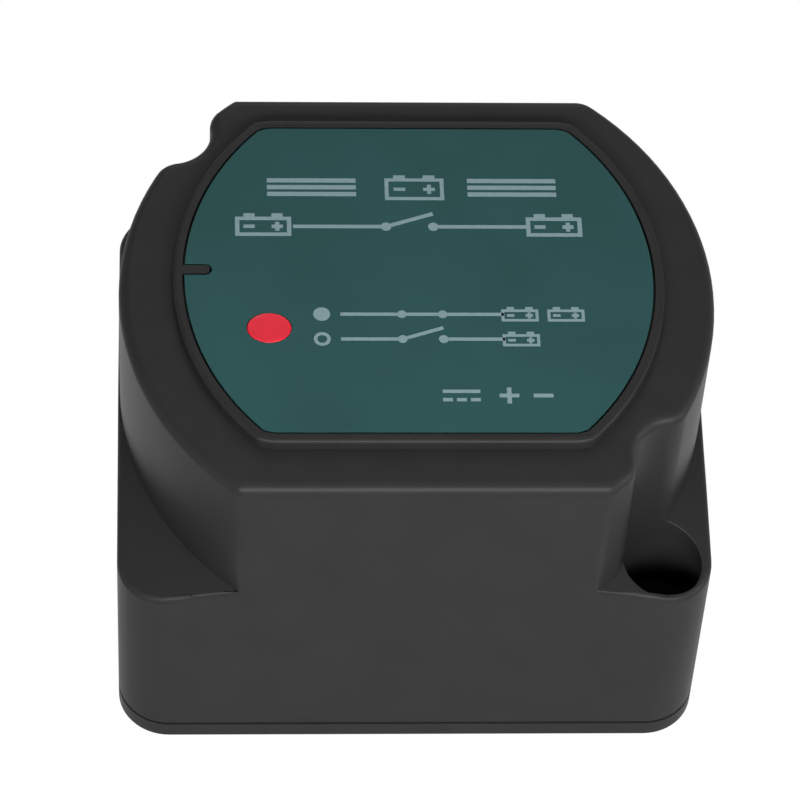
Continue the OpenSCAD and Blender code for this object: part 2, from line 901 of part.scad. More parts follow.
module plunger() {
  color(steel)
    difference() {
      translate([0, 0, plunger_z])
        cylinder(d = plunger_d, h = plunger_top - plunger_z, $fn = round_fn);
      translate([0, 0, plunger_z - over])
        cylinder(d = return_recess_d, h = return_recess_h + over, $fn = small_fn);
      translate([0, 0, plunger_z])
        cylinder(d = rod_d, h = plunger_top - plunger_z + over, $fn = small_fn);
    }
}

module return_spring() {
  color(steel)
    wire_spring(return_spring_d - spring_wire, core_top,
      plunger_z + return_recess_h - core_top, return_spring_turns);
}

// Fixed pole piece: its recess holds the contact spring
module fixed_core() {
  color(steel)
    difference() {
      union() {
        translate([0, 0, yoke_z]) cylinder(d = core_spigot_d, h = core_top - yoke_z, $fn = round_fn);
        translate([0, 0, bobbin_z])
          cylinder(d = plunger_d + bore_gap, h = core_rise, $fn = round_fn);
      }
      translate([0, 0, yoke_z - over])
        cylinder(d = core_recess_d, h = core_recess_z - yoke_z + over, $fn = round_fn);
      translate([0, 0, yoke_z])
        cylinder(d = rod_d + 4 * running_gap, h = core_top, $fn = small_fn);
    }
}

module coil_yoke() {
  color(steel)
    difference() {
      union() {
        translate([-yoke_l / 2, -yoke_w / 2, yoke_z]) cube([yoke_l, yoke_w, yoke_t]);
        for (side = [-1, 1])
          translate([side * (yoke_leg_x + yoke_t / 2) - yoke_t / 2, -yoke_leg_w / 2, yoke_z])
            cube([yoke_t, yoke_leg_w, bobbin_h + yoke_t]);
      }
      translate([0, 0, yoke_z - over])
        cylinder(d = core_spigot_d + screw_gap, h = yoke_t + 2 * over, $fn = round_fn);
      for (x = [-1, 1], y = [-1, 1])
        translate([x * post_x, y * post_y, yoke_z - over])
          cylinder(d = frame_screw_d + 2 * running_gap, h = yoke_t + 2 * over, $fn = small_fn);
    }
}

module yoke_plate() {
  color(steel)
    translate([0, 0, yoke_plate_z])
      difference() {
        linear_extrude(yoke_t)
          rounded_rect(yoke_l, yoke_w, yoke_t, $fn = small_fn);
        translate([0, 0, -over])
          cylinder(d = plunger_d + 2 * bore_gap, h = yoke_t + 2 * over, $fn = round_fn);
      }
}

module frame_screws() {
  color(steel)
    for (x = [-1, 1], y = [-1, 1])
      translate([x * post_x, y * post_y, yoke_z + yoke_t]) mirror([0, 0, 1])
        pan_screw(frame_screw_d, frame_screw_l, frame_head_d, frame_head_t, $fn = small_fn);
}

module coil_bobbin() {
  tube_d = bobbin_bore_d + 2 * tube_t;
  color(dark_resin)
    difference() {
      union() {
        translate([0, 0, bobbin_z]) cylinder(d = bobbin_d, h = flange_t, $fn = fine_fn);
        translate([0, 0, bobbin_z]) cylinder(d = tube_d, h = bobbin_h, $fn = round_fn);
        translate([0, 0, bobbin_z + bobbin_h - flange_t])
          cylinder(d = bobbin_d, h = flange_t, $fn = fine_fn);
      }
      translate([0, 0, bobbin_z - over])
        cylinder(d = bobbin_bore_d, h = bobbin_h + 2 * over, $fn = round_fn);
      for (side = [-1, 1])
        translate([side * pin_x, -pin_y, bobbin_z + bobbin_h])
          cube([pin_w, pin_w, 4 * flange_t], center = true);
    }
}

module coil_winding() {
  color(copper)
    translate([0, 0, bobbin_z + flange_t])
      ring(winding_d, bobbin_bore_d + 2 * tube_t, bobbin_h - 2 * flange_t, $fn = fine_fn);
}

module coil_pins() {
  color(brass)
    for (side = [-1, 1])
      translate([side * pin_x - pin_w / 2, -pin_y - pin_w / 2, bobbin_z + bobbin_h - flange_t])
        cube([pin_w, pin_w, board_top + strip_tail - bobbin_z - bobbin_h + flange_t]);
}

// Strips that carry the voltage of both studs up to the board
module sense_strips() {
  color(brass)
    for (side = [-1, 1]) scale([side, 1, 1]) {
      translate([strip_x - strip_foot, -strip_w / 2, pad_top])
        cube([strip_foot + strip_t, strip_w, strip_t]);
      translate([strip_x, -strip_w / 2, pad_top])
        cube([strip_t, strip_w, board_top + strip_tail - pad_top]);
    }
}

module circuit_board() {
  slot = strip_t + 2 * running_gap;
  color(board_green)
    translate([0, 0, board_z])
      difference() {
        linear_extrude(board_t)
          intersection() {
            rounded_rect(board_w, board_d, board_corner_r, $fn = small_fn);
            cavity_outline(2 * seat_gap);
          }
        for (x = [-1, 1], y = [-1, 1])
          translate([x * board_boss_x, y * board_boss_y, -over])
            cylinder(d = board_screw_d + 2 * running_gap, h = board_t + 2 * over, $fn = small_fn);
        for (side = [-1, 1]) {
          translate([side * (strip_x + strip_t / 2), 0, board_t / 2])
            cube([slot, strip_w + 2 * running_gap, board_t + 2 * over], center = true);
          translate([side * pin_x, -pin_y, board_t / 2])
            cube([pin_w + 2 * running_gap, pin_w + 2 * running_gap, board_t + 2 * over],
              center = true);
        }
        translate([ground_strip_x + strip_t / 2, ground_y, board_t / 2])
          cube([slot, ground_strip_w + 2 * running_gap, board_t + 2 * over], center = true);
      }
}

module board_screws() {
  color(steel)
    for (x = [-1, 1], y = [-1, 1])
      translate([x * board_boss_x, y * board_boss_y, board_z])
        pan_screw(board_screw_d, board_screw_l, board_head_d, board_head_t, $fn = small_fn);
}

module indicator_led() {
  color(red_lens)
    translate([-window_x, -window_y, board_top]) {
      translate([-led_body[0] / 2, -led_body[1] / 2, 0]) cube(led_body);
      cylinder(r = led_dome_r, h = led_h, $fn = small_fn);
    }
}

// Eight-lead chip
module sense_chip() {
  color(dark_resin)
    translate([chip_x, chip_y, board_top]) {
      translate([-chip_size[0] / 2, -chip_size[1] / 2, 0]) cube(chip_size);
      for (side = [-1, 1], i = [-1.5:1:1.5])
        translate([i * lead_pitch, side * (chip_size[1] / 2 + lead_size[0] / 2), lead_size[2] / 2])
          cube([lead_size[1], lead_size[0], lead_size[2]], center = true);
    }
}

module driver_transistor() {
  color(dark_resin)
    translate([transistor_x, chip_y, board_top]) {
      translate([-transistor_size[0] / 2, -transistor_size[1] / 2, 0]) cube(transistor_size);
      translate([-tab_size[0] / 2, transistor_size[1] / 2, 0]) cube(tab_size);
    }
}

module flyback_diode() {
  color(dark_resin)
    translate([chip_x, diode_y, board_top])
      translate([-diode_size[0] / 2, -diode_size[1] / 2, 0]) cube(diode_size);
}

module chip_resistors() {
  color(dark_resin)
    for (i = [0:4])
      translate([resistor_x + i * resistor_pitch, resistor_y, board_top])
        translate([-resistor_size[1] / 2, -resistor_size[0] / 2, 0])
          cube([resistor_size[1], resistor_size[0], resistor_size[2]]);
}

module filter_capacitor() {
  color(black_abs)
    translate([-below_board_x, below_board_y, board_z - capacitor_h])
      cylinder(d = capacitor_d, h = capacitor_h, $fn = round_fn);
}

module trim_potentiometer() {
  color([0.15, 0.3, 0.65])
    translate([below_board_x, below_board_y, board_z - trimmer_size[2]])
      difference() {
        translate([-trimmer_size[0] / 2, -trimmer_size[1] / 2, 0]) cube(trimmer_size);
        translate([0, 0, -over])
          ring(trimmer_dial_d + trimmer_slot, trimmer_dial_d, over + trimmer_slot, $fn = small_fn);
      }
}

housing();
label_overlay();
led_window();
bottom_plate();
cover_screws();
stud_carrier();
carrier_screws();
terminal_stud_left();
terminal_stud_right();
terminal_washers();
lock_washers();
terminal_nuts();
ground_stud();
ground_washer();
ground_nut();
ground_strip();
contact_chamber();
fixed_contact_tips();
contact_bridge();
moving_contact_tips();
contact_spring();
pusher_rod();
retaining_clip();
spring_washer();
plunger();
return_spring();
fixed_core();
coil_yoke();
yoke_plate();
frame_screws();
coil_bobbin();
coil_winding();
coil_pins();
sense_strips();
circuit_board();
board_screws();
indicator_led();
sense_chip();
driver_transistor();
flyback_diode();
chip_resistors();
filter_capacitor();
trim_potentiometer();
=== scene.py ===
import math

import bmesh
import bpy
from mathutils import Matrix, Vector


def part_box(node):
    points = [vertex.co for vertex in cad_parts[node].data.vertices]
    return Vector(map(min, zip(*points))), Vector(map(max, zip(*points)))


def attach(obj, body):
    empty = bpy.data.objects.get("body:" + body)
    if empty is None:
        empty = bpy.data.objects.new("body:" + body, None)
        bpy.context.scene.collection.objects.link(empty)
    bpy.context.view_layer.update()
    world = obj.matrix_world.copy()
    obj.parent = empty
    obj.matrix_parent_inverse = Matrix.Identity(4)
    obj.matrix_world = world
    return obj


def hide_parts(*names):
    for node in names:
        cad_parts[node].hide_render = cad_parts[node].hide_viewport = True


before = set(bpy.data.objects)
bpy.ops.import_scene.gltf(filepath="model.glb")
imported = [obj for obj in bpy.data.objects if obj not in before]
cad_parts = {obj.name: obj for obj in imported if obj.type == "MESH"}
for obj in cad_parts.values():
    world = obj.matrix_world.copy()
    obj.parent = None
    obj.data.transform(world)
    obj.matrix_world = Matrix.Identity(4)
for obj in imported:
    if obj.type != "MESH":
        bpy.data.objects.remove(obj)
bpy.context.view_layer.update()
mm = 0.001
print("frame loaded:", len(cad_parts), "nodes")

# Camera, as fitted to the photograph: degrees, millimetres and pixels of the 800 px frame
camera = {
    "azimuth": -4.841, "elevation": 53.597, "roll": 3.929,
    "distance": 518.38, "right": -2.37, "up": 2.427, "targetHeight": 20.0,
    "focalPixels": 4375.8, "centrePixels": (386.31, 415.59), "framePixels": 800,
    "sensor": 36.0,
}


def addCamera(c):
    a, e, roll = (math.radians(c[k]) for k in ("azimuth", "elevation", "roll"))
    back = Vector((math.sin(a) * math.cos(e), -math.cos(a) * math.cos(e), math.sin(e)))
    level = Vector((math.cos(a), math.sin(a), 0))
    up = level.cross(-back)
    right = level * math.cos(roll) + up * math.sin(roll)
    up = up * math.cos(roll) - level * math.sin(roll)
    place = Vector((0, 0, c["targetHeight"])) + back * c["distance"]
    place += right * c["right"] + up * c["up"]
    data = bpy.data.cameras.new("photoCamera")
    data.sensor_width = c["sensor"]
    data.lens = c["focalPixels"] * c["sensor"] / c["framePixels"]
    data.shift_x = 0.5 - c["centrePixels"][0] / c["framePixels"]
    data.shift_y = c["centrePixels"][1] / c["framePixels"] - 0.5
    data.clip_start, data.clip_end = 0.01, 20
    cam = bpy.data.objects.new("photoCamera", data)
    axes = Matrix((right, up, back)).transposed().to_4x4()
    cam.matrix_world = Matrix.Translation(place * mm) @ axes
    bpy.context.scene.collection.objects.link(cam)
    bpy.context.scene.camera = cam


addCamera(camera)
print("camera placed")


# Materials
def hexColor(text):  # sRGB hex to linear RGBA
    parts = [int(text[i:i + 2], 16) / 255 for i in (0, 2, 4)]
    return [p / 12.92 if p <= 0.04045 else ((p + 0.055) / 1.055) ** 2.4 for p in parts] + [1.0]


def addNode(tree, kind, settings=None, links=None):
    node = tree.nodes.new(kind)
    for name, value in (settings or {}).items():
        if hasattr(node, name) and name not in node.inputs:
            setattr(node, name, value)
        else:
            node.inputs[name].default_value = value
    for name, source in (links or {}).items():
        tree.links.new(source, node.inputs[name])
    return node


def newMaterial(name, **shader):
    material = bpy.data.materials.new(name)
    material.use_nodes = True
    tree = material.node_tree
    bsdf = tree.nodes["Principled BSDF"]
    for socket, value in shader.items():
        bsdf.inputs[socket.replace("_", " ")].default_value = value
    return material, tree, bsdf


def objectNoise(tree, sizeMm, detail=2.0, roughness=0.5):  # noise whose features measure sizeMm
    place = addNode(tree, "ShaderNodeTexCoord").outputs["Object"]
    return addNode(tree, "ShaderNodeTexNoise",
                   {"Scale": 1 / (sizeMm * mm), "Detail": detail, "Roughness": roughness},
                   {"Vector": place}).outputs["Fac"]


def varyColor(tree, bsdf, fac, dark, light, low=0.3, high=0.7):
    ramp = addNode(tree, "ShaderNodeValToRGB", links={"Fac": fac})
    ramp.color_ramp.elements[0].position = low
    ramp.color_ramp.elements[0].color = hexColor(dark)
    ramp.color_ramp.elements[1].position = high
    ramp.color_ramp.elements[1].color = hexColor(light)
    tree.links.new(ramp.outputs["Color"], bsdf.inputs["Base Color"])


def varyRoughness(tree, bsdf, fac, low, high):
    spread = addNode(tree, "ShaderNodeMapRange", {"To Min": low, "To Max": high}, {"Value": fac})
    tree.links.new(spread.outputs["Result"], bsdf.inputs["Roughness"])


def addBump(tree, bsdf, height, depthMm, strength=1.0):
    bump = addNode(tree, "ShaderNodeBump", {"Strength": strength, "Distance": depthMm * mm},
                   {"Height": height})
    tree.links.new(bump.outputs["Normal"], bsdf.inputs["Normal"])


def blackAbs():  # moulded ABS with a fine spark-eroded texture and a soft sheen at low angles
    material, tree, bsdf = newMaterial("blackAbs", IOR=1.5, Specular_IOR_Level=0.055)
    varyColor(tree, bsdf, objectNoise(tree, 6.0), "151515", "171717")
    varyRoughness(tree, bsdf, objectNoise(tree, 9.0, 3.0), 0.39, 0.42)
    addBump(tree, bsdf, objectNoise(tree, 0.28, 2.0, 0.6), 0.012, 0.35)
    return material


def labelFilm():  # matt polyester film, reverse printed in dark teal
    material, tree, bsdf = newMaterial("labelFilm", IOR=1.5, Specular_IOR_Level=0.05)
    varyColor(tree, bsdf, objectNoise(tree, 14.0), "172f2f", "193333")
    varyRoughness(tree, bsdf, objectNoise(tree, 5.0), 0.54, 0.62)
    addBump(tree, bsdf, objectNoise(tree, 0.2), 0.004, 0.25)
    return material


def screenInk():  # pale grey-blue ink, slightly uneven in cover
    material, tree, bsdf = newMaterial("screenInk", IOR=1.5, Specular_IOR_Level=0.2, Roughness=0.6)
    varyColor(tree, bsdf, objectNoise(tree, 0.5, 3.0), "4d5e61", "536467")
    return material


def redLens():  # dyed acrylic light pipe, satin on top
    material, tree, bsdf = newMaterial("redLens", IOR=1.49, Specular_IOR_Level=0.2,
                                       Subsurface_Weight=0.25,
                                       Subsurface_Radius=(0.002, 0.0003, 0.0003))
    varyColor(tree, bsdf, objectNoise(tree, 1.6), "8f0c1d", "971021")
    varyRoughness(tree, bsdf, objectNoise(tree, 1.0), 0.32, 0.4)
    return material


def machinedMetal(name, dark, light, roughness, grainMm=0.35):
    # turned or rolled metal, with faint tool lines
    material, tree, bsdf = newMaterial(name, Metallic=1.0)
    grain = objectNoise(tree, grainMm, 4.0, 0.65)
    varyColor(tree, bsdf, grain, dark, light)
    varyRoughness(tree, bsdf, grain, roughness - 0.06, roughness + 0.08)
    addBump(tree, bsdf, grain, 0.01, 0.3)
    return material


def springSteel():  # oil-tempered wire, dark and smooth
    return machinedMetal("springSteel", "6f7073", "8a8b8e", 0.28, 0.8)


def enamelledWire():  # layers of lacquered copper wire, 0.3 mm thick, seen as fine rings
    material, tree, bsdf = newMaterial("enamelledWire", Roughness=0.3, Coat_Weight=0.5)
    place = addNode(tree, "ShaderNodeTexCoord").outputs["Object"]
    turns = addNode(tree, "ShaderNodeTexWave",
                    {"bands_direction": "Z", "wave_profile": "SIN",
                     "Scale": 0.1 / (0.3 * mm) * 3.14},
                    {"Vector": place}).outputs["Fac"]
    varyColor(tree, bsdf, turns, "6a2412", "b5562c")
    addBump(tree, bsdf, turns, 0.1)
    return material


def mouldedResin():  # phenolic or glass-filled nylon, dull brown-black
    material, tree, bsdf = newMaterial("mouldedResin", IOR=1.55, Specular_IOR_Level=0.35)
    fleck = objectNoise(tree, 0.6, 3.0)
    varyColor(tree, bsdf, fleck, "1d1a18", "26221f")
    varyRoughness(tree, bsdf, fleck, 0.5, 0.62)
    addBump(tree, bsdf, fleck, 0.02, 0.3)
    return material


def solderMask():  # epoxy glass board under green lacquer; the weave shows as a fine check
    material, tree, bsdf = newMaterial("solderMask", Roughness=0.32, IOR=1.5)
    place = addNode(tree, "ShaderNodeTexCoord").outputs["Object"]
    weave = addNode(tree, "ShaderNodeTexChecker", {"Scale": 1 / (0.5 * mm)},
                    {"Vector": place}).outputs["Fac"]
    varyColor(tree, bsdf, weave, "0d4a26", "10532b", 0.0, 1.0)
    return material


def blackEpoxy():  # moulded chip bodies, very fine matt
    material, tree, bsdf = newMaterial("blackEpoxy", IOR=1.55, Specular_IOR_Level=0.4)
    fleck = objectNoise(tree, 0.12, 2.0)
    varyColor(tree, bsdf, fleck, "1a1a1b", "232324")
    varyRoughness(tree, bsdf, fleck, 0.45, 0.6)
    return material


def blueNylon():  # trimmer body
    material, tree, bsdf = newMaterial("blueNylon", IOR=1.53, Roughness=0.4)
    varyColor(tree, bsdf, objectNoise(tree, 1.2), "1d468f", "22509f")
    return material


finishes = {
    "abs": blackAbs(), "film": labelFilm(), "ink": screenInk(), "lens": redLens(),
    "zinc": machinedMetal("zincPlate", "a3a5a6", "c4c6c6", 0.34),
    "copper": machinedMetal("bareCopper", "b4694a", "cf8560", 0.3),
    "brass": machinedMetal("milledBrass", "b08f4c", "cdb070", 0.3),
    "silver": machinedMetal("silverAlloy", "c9c8c2", "deddd8", 0.36),
    "pure iron": machinedMetal("softIron", "8e8f90", "a9aaab", 0.38),
    "spring": springSteel(), "wire": enamelledWire(), "resin": mouldedResin(),
    "board": solderMask(), "epoxy": blackEpoxy(), "blue": blueNylon(),
}
nodeFinish = {
    "bottom_plate": "abs",
    "cover_screws": "zinc", "stud_carrier": "resin", "carrier_screws": "zinc",
    "terminal_stud_left": "copper", "terminal_stud_right": "copper", "terminal_washers": "brass",
    "lock_washers": "zinc", "terminal_nuts": "brass", "ground_stud": "brass",
    "ground_washer": "brass", "ground_nut": "brass", "ground_strip": "brass",
    "contact_chamber": "resin", "fixed_contact_tips": "silver", "contact_bridge": "copper",
    "moving_contact_tips": "silver", "contact_spring": "spring", "pusher_rod": "zinc",
    "retaining_clip": "spring", "spring_washer": "zinc", "plunger": "pure iron",
    "return_spring": "spring", "fixed_core": "pure iron", "coil_yoke": "zinc",
    "yoke_plate": "zinc", "frame_screws": "zinc", "coil_bobbin": "resin",
    "coil_winding": "wire", "coil_pins": "brass", "sense_strips": "brass",
    "circuit_board": "board", "board_screws": "zinc", "indicator_led": "lens",
    "sense_chip": "epoxy", "driver_transistor": "epoxy", "flyback_diode": "epoxy",
    "chip_resistors": "epoxy", "filter_capacitor": "epoxy", "trim_potentiometer": "blue",
}
for name, finish in nodeFinish.items():
    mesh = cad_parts[name].data
    mesh.materials.clear()
    mesh.materials.append(finishes[finish])
print("materials made:", len(finishes))


# Mesh helpers: sizes are millimetres until a piece is finished
weldDistance = 0.004
levelTolerance = 0.01
beyond = 1.0  # how far a cutter reaches past the surface that it opens


def newPiece(name, bm):
    mesh = bpy.data.meshes.new(name)
    bm.to_mesh(mesh)
    bm.free()
    piece = bpy.data.objects.new(name, mesh)
    bpy.context.scene.collection.objects.link(piece)
    return piece


def splitLarge(bm):  # faces with more than four corners, cut to triangles
    large = [f for f in bm.faces if len(f.verts) > 4]
    bmesh.ops.triangulate(bm, faces=large, quad_method="BEAUTY", ngon_method="EAR_CLIP")


def combine(piece, tool, how="DIFFERENCE"):  # boolean, applied at once; the tool is removed
    for item in (piece, tool):
        bm = bmesh.new()
        bm.from_mesh(item.data)
        splitLarge(bm)
        bm.to_mesh(item.data)
        bm.free()
    change = piece.modifiers.new("combine", "BOOLEAN")
    change.object, change.operation, change.solver = tool, how, "MANIFOLD"
    applyModifiers(piece)
    bpy.data.objects.remove(tool)


def edit(piece, mergeFlats=False, flatAngle=0.3):
    # bmesh of a piece without doubles, its flats made one face each or its large faces triangles
    bm = bmesh.new()
    bm.from_mesh(piece.data)
    bmesh.ops.remove_doubles(bm, verts=bm.verts, dist=weldDistance)
    if mergeFlats:
        bmesh.ops.dissolve_limit(bm, angle_limit=math.radians(flatAngle),
                                 verts=bm.verts, edges=bm.edges)
    else:
        splitLarge(bm)
    return bm


def fillAgain(bm, z):  # the level face at z, laid afresh between its own outlines
    level = [f for f in bm.faces if all(abs(v.co.z - z) < levelTolerance for v in f.verts)]
    bmesh.ops.delete(bm, geom=level, context="FACES")
    outlines = [e for e in bm.edges if e.is_boundary]
    made = bmesh.ops.triangle_fill(bm, use_beauty=True, edges=outlines,
                                   normal=(0, 0, 1))["geom"]
    faces = [f for f in made if isinstance(f, bmesh.types.BMFace)]
    bm.normal_update()
    bmesh.ops.reverse_faces(bm, faces=[f for f in faces if f.normal.z < 0])


def finishPiece(piece, bm, finish, smoothAngle=32.0):
    bmesh.ops.scale(bm, vec=(mm, mm, mm), verts=bm.verts)
    bm.to_mesh(piece.data)
    bm.free()
    piece.data.materials.clear()
    piece.data.materials.append(finishes[finish])
    piece.data.shade_smooth()
    piece.data.set_sharp_from_angle(angle=math.radians(smoothAngle))
    weight = piece.modifiers.new("faceWeights", "WEIGHTED_NORMAL")
    weight.keep_sharp = True
    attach(piece, "root")


def roundEdges(bm, edges, radius, segments):
    bmesh.ops.bevel(bm, geom=list(edges), offset=radius, affect="EDGES", segments=segments,
                    profile=0.5, material=-1, clamp_overlap=False, loop_slide=True)


def fillLoop(bm):
    bmesh.ops.contextual_create(bm, geom=list(bm.edges))


def raiseFace(bm, height):  # closed prism out of the one face in bm
    made = bmesh.ops.extrude_face_region(bm, geom=list(bm.faces))["geom"]
    top = [v for v in made if isinstance(v, bmesh.types.BMVert)]
    bmesh.ops.translate(bm, vec=(0, 0, height), verts=top)
    bmesh.ops.recalc_face_normals(bm, faces=bm.faces)


def lensFace(bm, width, depth, arcRadius, centre, z, cornerRadius=0.0, steps=64):
    # two round sides and two straight ones, with the corners between them rounded
    offset = arcRadius - width / 2
    half = math.asin(depth / 2 / arcRadius)
    flat = arcRadius * math.cos(half) - offset
    ends = []
    for side in (1, -1):
        start = bm.verts.new((side * flat, -side * depth / 2, z))
        spun = bmesh.ops.spin(bm, geom=[start], cent=(-side * offset, 0, z), axis=(0, 0, 1),
                              angle=2 * half, steps=steps)["geom_last"]
        ends.append((start, spun[0]))
    bm.edges.new((ends[0][1], ends[1][0]))
    bm.edges.new((ends[1][1], ends[0][0]))
    fillLoop(bm)
    if cornerRadius:
        turn = math.pi / 2 - half
        corners = [v for pair in ends for v in pair]
        bmesh.ops.bevel(bm, geom=corners, offset=cornerRadius * math.tan(turn / 2),
                        affect="VERTICES", segments=6, profile=0.5, material=-1,
                        clamp_overlap=False)
    bmesh.ops.translate(bm, vec=(*centre, 0), verts=bm.verts)


def blockFace(bm, width, depth, z, cornerRadius, segments=14):
    bmesh.ops.create_grid(bm, x_segments=1, y_segments=1, size=0.5)
    bmesh.ops.scale(bm, vec=(width, depth, 1), verts=bm.verts)
    bmesh.ops.bevel(bm, geom=list(bm.verts), offset=cornerRadius, affect="VERTICES",
                    segments=segments, profile=0.5, material=-1, clamp_overlap=False)
    bmesh.ops.translate(bm, vec=(0, 0, z), verts=bm.verts)


def rod(name, radius, low, high, place=(0, 0), topRadius=None, segments=96):
    bm = bmesh.new()
    bmesh.ops.create_cone(bm, cap_ends=True, segments=segments, radius1=radius,
                          radius2=radius if topRadius is None else topRadius, depth=high - low)
    bmesh.ops.translate(bm, vec=(*place, (low + high) / 2), verts=bm.verts)
    return newPiece(name, bm)


def brick(name, low, high):
    bm = bmesh.new()
    bmesh.ops.create_cube(bm, size=1.0)
    bmesh.ops.scale(bm, vec=[b - a for a, b in zip(low, high)], verts=bm.verts)
    bmesh.ops.translate(bm, vec=[(a + b) / 2 for a, b in zip(low, high)], verts=bm.verts)
    return newPiece(name, bm)


def topEdges(bm, z, turnAbove=40):  # rim between a level face at z and the walls below it
    return [e for e in bm.edges if all(abs(v.co.z - z) < levelTolerance for v in e.verts)
            and e.calc_face_angle(0) > math.radians(turnAbove)]


def filletByWeight(piece, radii, segments=6, widest=2.0, turnAbove=28):
    # radii gives a fillet's width for an edge, or 0 to leave it sharp; all are made in one go
    bm = edit(piece, True)
    weight = bm.edges.layers.float.new("bevel_weight_edge")
    for e in bm.edges:
        turn = e.calc_face_angle_signed(0)
        if turn > math.radians(turnAbove):
            e[weight] = radii((e.verts[0].co + e.verts[1].co) / 2, e, turn) / widest
    bm.to_mesh(piece.data)
    bm.free()
    change = piece.modifiers.new("fillets", "BEVEL")
    change.limit_method, change.width, change.segments = "WEIGHT", widest, segments
    change.use_clamp_overlap, change.loop_slide = False, True
    applyModifiers(piece)


def applyModifiers(piece):
    bpy.context.view_layer.update()
    graph = bpy.context.evaluated_depsgraph_get()
    made = bpy.data.meshes.new_from_object(piece.evaluated_get(graph))
    piece.modifiers.clear()
    piece.data = made


# Housing: round body, square base with sloping ledges, raised rim round the label
boxLow, boxHigh = (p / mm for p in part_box("housing"))
shell = {
    "width": boxHigh.x - boxLow.x, "depth": boxHigh.y - boxLow.y, "top": boxHigh.z,
    "foot": 2.5, "neck": 0.3, "neckInset": 0.8, "neckOverlap": 1.7, "footFillet": 0.25,
    "sideRadius": 36.8, "sideInset": 0.2, "frontCorner": 1.6, "backCorner": 4.2, "lean": 0.018,
    "shoulder": 48.6, "topFillet": 1.35,
    "cornerRadius": 6.0, "ledge": 29.2, "slope": 0.3, "ledgeFillet": 0.65, "ledgeShare": 0.6,
    "mounts": ((28.0, -23.4), (-28.0, 23.4)), "holes": ((28.0, -23.0), (-28.0, 23.0)),
    "holeRadius": 2.6, "boreRadius": 4.7, "boreFloor": 17.2, "boreFillet": 0.2,
    "hornInner": 3.0, "hornOuter": 3.2,  # fillets between a scallop and the round wall
    "wall": 2.4, "ceiling": 46.4, "cavityFloor": 0.5, "columnWall": 2.0,
    "entryRadius": 5.6, "entryHeight": 9.6, "slotWidth": 14.4,
}
cutter = {  # tools round the housing's upper half, all larger than it
    "inner": 12.0, "outer": 60.0, "depth": 45.0, "low": 20.0, "high": 60.0,
    "arcLow": 10.0, "arcHigh": 65.0, "hornTail": 3.0, "aboveTop": 5.0, "segments": 120,
}
edgeZones = {  # how the housing's edges are told apart
    "uprightRise": 10.0, "bore": 0.1, "horn": 1.5, "mount": 12.0, "outline": 0.05,
}
label = {
    "width": 53.0, "depth": 43.4, "arcRadius": 30.8, "centre": (0.15, 0.5), "cornerRadius": 3.2,
    "thickness": 0.3, "recess": 0.315, "gap": 0.28, "groove": 0.95, "rim": 1.4, "rimFillet": 0.5,
    "keyWidth": 1.1, "keyLength": 3.0, "keyPlace": 1.5,
    "window": (-16.9, -6.8), "windowSize": (5.0, 4.25), "windowGap": 0.1,
    "lensSink": 0.02, "lensFillet": 0.15,
}


def labelPrism(name, grow, low, high, rim=0.0):
    bm = bmesh.new()
    lensFace(bm, label["width"] + 2 * grow, label["depth"] + 2 * grow, label["arcRadius"] + grow,
             label["centre"], low, label["cornerRadius"] + grow)
    raiseFace(bm, high - low)
    if rim:
        roundEdges(bm, topEdges(bm, high), rim, 4)
    return newPiece(name, bm)


def stadium(name, size, low, high, place):
    bm = bmesh.new()
    radius, shift = size[1] / 2, (size[0] - size[1]) / 2
    ends = []
    for side in (1, -1):
        start = bm.verts.new((side * shift, -side * radius, low))
        spun = bmesh.ops.spin(bm, geom=[start], cent=(side * shift, 0, low), axis=(0, 0, 1),
                              angle=math.pi, steps=20)["geom_last"]
        ends.append((start, spun[0]))
    bm.edges.new((ends[0][1], ends[1][0]))
    bm.edges.new((ends[1][1], ends[0][0]))
    fillLoop(bm)
    raiseFace(bm, high - low)
    bmesh.ops.translate(bm, vec=(*place, 0), verts=bm.verts)
    return newPiece(name, bm)


def oval(name, size, low, high, place):
    bm = bmesh.new()
    bmesh.ops.create_cone(bm, cap_ends=True, segments=72, radius1=0.5, radius2=0.5,
                          depth=high - low)
    bmesh.ops.scale(bm, vec=(*size, 1), verts=bm.verts)
    bmesh.ops.translate(bm, vec=(*place, (low + high) / 2), verts=bm.verts)
    return newPiece(name, bm)


def keyStadium(name, grow, low, high):  # from beyond the label's left edge to the key's round end
    end = label["keyLength"] - label["width"] / 2 - label["keyWidth"] / 2
    reach = label["width"] / 2 + 2 * beyond
    width = label["keyWidth"] + 2 * grow
    return stadium(name, (2 * (reach + end) + width, width), low, high, (-reach, label["keyPlace"]))


def hornPrism(s, place, radius, turn, steps=24):
    # the tip between scallop and round wall that a fillet of this radius takes away
    wallRadius = s["sideRadius"] - s["sideInset"]
    centre = Vector(place)
    wall = Vector((-math.copysign(s["sideRadius"] - s["width"] / 2, centre.x), 0))
    apart = (centre - wall).length
    along = (centre - wall) / apart
    near, far = s["boreRadius"] + radius, wallRadius - radius
    reach = (far * far - near * near + apart * apart) / (2 * apart)
    aside = math.sqrt(far * far - reach * reach)
    middle = wall + along * reach + Vector((-along.y, along.x)) * turn * aside
    first = (centre - middle).normalized()
    last = (middle - wall).normalized()
    sweep = first.angle_signed(last)
    low = cutter["low"]
    bm = bmesh.new()
    start = bm.verts.new((*(middle + first * radius), low))
    spun = bmesh.ops.spin(bm, geom=[start], cent=(*middle, low), axis=(0, 0, 1), angle=-sweep,
                          steps=steps)["geom_last"][0]
    end = middle + last * radius
    tangent = Vector((last.y, -last.x)) * turn
    outside = bm.verts.new((*(end + tangent * cutter["hornTail"]), low))
    hub = bm.verts.new((*centre, low))
    for a, b in ((spun, outside), (outside, hub), (hub, start)):
        bm.edges.new((a, b))
    fillLoop(bm)
    raiseFace(bm, cutter["high"] - low)
    return newPiece("hornTip", bm)


